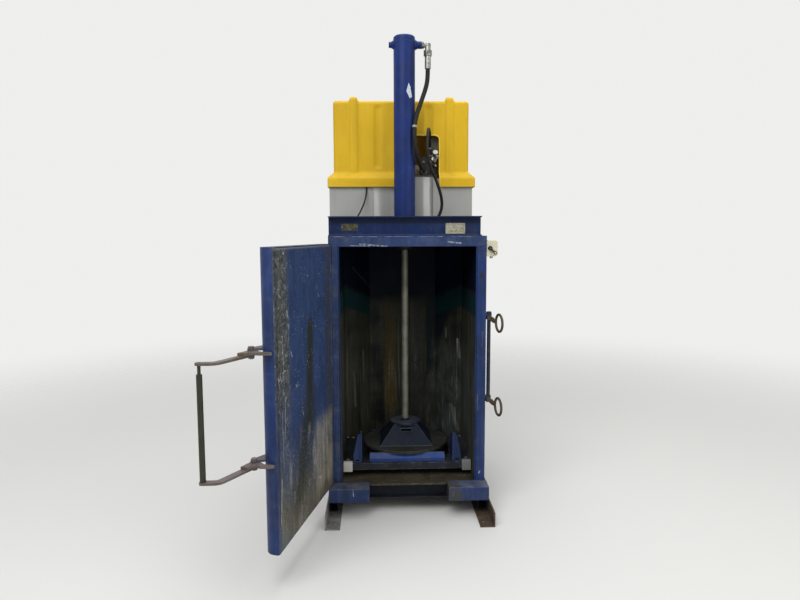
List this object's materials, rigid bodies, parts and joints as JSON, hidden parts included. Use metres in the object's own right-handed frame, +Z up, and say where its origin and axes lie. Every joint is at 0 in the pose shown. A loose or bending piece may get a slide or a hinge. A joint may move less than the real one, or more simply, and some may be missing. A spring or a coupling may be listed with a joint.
{
  "type": "drum crusher",
  "caption": "Upright hydraulic drum crusher with a steel cabinet, hinged door, toggle latch, ram with platen and a covered power unit on its roof.",
  "frame": {"origin": "centre of the four floor anchor holes, on the floor", "axes": "+Z up, -Y towards the door side, +X to the right seen from the front"},
  "size_m": [1.335, 1.7854, 2.586],
  "materials": {
    "blue_paint": "worn satin paint",
    "worn_plate": "paint worn to dull grimy steel",
    "bare_steel": "dull bare steel with light rust",
    "rusty_steel": "brown oxide",
    "rod_chrome": "dusty ground finish",
    "zinc": "bright plated",
    "shoe_plastic": "scuffed white plastic",
    "panel_grey": "light grey paint",
    "tank_metal": "dull sheet",
    "cover_yellow": "moulded orange-peel skin",
    "hose_rubber": "matt black",
    "cable_black": "matt black",
    "switch_grey": "cast housing, dull paint",
    "black_iron": "dark paint",
    "motor_grey": "grey paint"
  },
  "bodies": {
    "machine": {"anchor_feet": "rusty_steel", "base_frame": "blue_paint", "sill_blocks": "blue_paint", "floor_plate": "worn_plate", "chamber_shell": "worn_plate", "jamb_left": "blue_paint", "jamb_right": "blue_paint", "jamb_bolt": "bare_steel", "header": "blue_paint", "roof_plate": "blue_paint", "top_beam": "blue_paint", "roof_frame": "blue_paint", "hinge_leaf_frame": "blue_paint", "hinge_pin": "bare_steel", "catch_lugs": "blue_paint", "switch_body": "switch_grey", "cylinder_tube": "blue_paint", "cylinder_gland": "bare_steel", "cylinder_bolts": "zinc", "unit_deck": "panel_grey", "skirt_panels": "panel_grey", "oil_tank": "tank_metal", "tank_lid": "tank_metal", "bell_housing": "tank_metal", "motor": "motor_grey", "motor_fan_cover": "motor_grey", "pump": "black_iron", "manifold": "tank_metal", "valve_cartridges": "zinc", "upper_elbow": "zinc", "lower_elbow": "zinc", "manifold_fittings": "zinc", "hose_ferrules": "zinc", "return_hose": "hose_rubber", "feed_hose": "hose_rubber", "control_cable": "cable_black", "cable_glands": "black_iron", "cover": "cover_yellow"},
    "door": {"door_pan": "blue_paint", "door_inner_plate": "worn_plate", "hinge_leaf_door": "blue_paint", "latch_lugs": "bare_steel", "latch_pins": "bare_steel"},
    "latch_lever": {"latch_arms": "bare_steel", "latch_tie_rod": "bare_steel"},
    "grip": {"grip_sleeve": "bare_steel"},
    "catch": {"catch_shaft": "blue_paint", "catch_arms": "rusty_steel"},
    "ram": {"piston": "bare_steel", "piston_rod": "rod_chrome", "rod_flange": "blue_paint", "platen_cone": "blue_paint", "platen_disc": "worn_plate", "platen_frame": "worn_plate", "platen_stop_bars": "blue_paint", "platen_uprights": "blue_paint", "guide_shoes": "shoe_plastic", "shoe_bolts": "zinc"},
    "switch_arm": {"switch_lever": "bare_steel"},
    "switch_wheel": {"switch_roller": "zinc"}
  },
  "joints": [
    {"name": "door_hinge", "type": "hinge", "parent": "machine", "child": "door", "pos_m": [-0.4055, -0.3305, 0.81], "axis": [0, 0, 1], "range_deg": [-14, 102.8]},
    {"name": "latch_swing", "type": "hinge", "parent": "door", "child": "latch_lever", "pos_m": [-0.67234, -1.07847, 0.79], "axis": [0, 0, 1], "range_deg": [-130, 3]},
    {"name": "grip_turn", "type": "hinge", "parent": "latch_lever", "child": "grip", "pos_m": [-0.83525, -1.25238, 0.77], "axis": [0, 0, 1], "continuous": true},
    {"name": "catch_swing", "type": "hinge", "parent": "machine", "child": "catch", "pos_m": [0.4305, -0.3, 0.84], "axis": [0, 0, 1], "range_deg": [-25, 150]},
    {"name": "ram_slide", "type": "slide", "parent": "machine", "child": "ram", "axis": [0, 0, 1], "range_m": [0, 0.914]},
    {"name": "switch_rock", "type": "hinge", "parent": "machine", "child": "switch_arm", "pos_m": [0.456, -0.325, 1.397], "axis": [0, 1, 0], "range_deg": [-40, 40], "stiffness_Nm_per_rad": 0.3},
    {"name": "switch_wheel_turn", "type": "hinge", "parent": "switch_arm", "child": "switch_wheel", "pos_m": [0.42766, -0.333, 1.42078], "axis": [0, 1, 0], "continuous": true}
  ]
}
